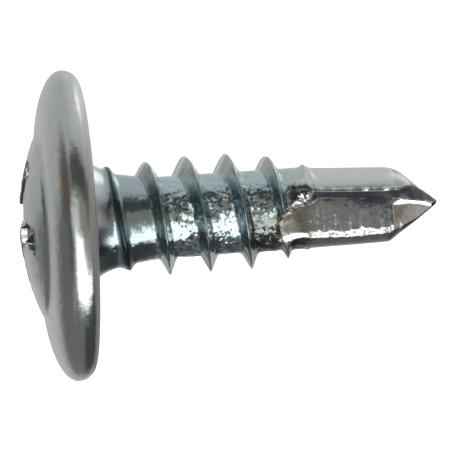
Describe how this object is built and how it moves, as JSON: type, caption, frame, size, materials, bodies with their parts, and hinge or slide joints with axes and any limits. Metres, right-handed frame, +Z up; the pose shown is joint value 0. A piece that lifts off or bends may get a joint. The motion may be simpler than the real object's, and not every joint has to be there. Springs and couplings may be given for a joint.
{
  "type": "self drilling screw",
  "caption": "Small zinc plated self drilling screw with a low domed washer head, cross recess, coarse thread and two-flute drill point, lying at rest.",
  "frame": {"origin": "centre of the bounding box's foot, on the surface that the screw lies on", "axes": "+Z up; the screw's axis lies over +X and dips 21.1 degrees towards its drill point; +Y is across it"},
  "size_m": [0.0142, 0.0108, 0.0101],
  "materials": {
    "zinc_plated_steel": "bright blue-white zinc plating over cold forged, thread rolled steel; satin on the head, brighter on the neck and thread, mottled in the flutes"
  },
  "bodies": {
    "root": {"self_drilling_screw": "zinc_plated_steel"}
  },
  "joints": []
}
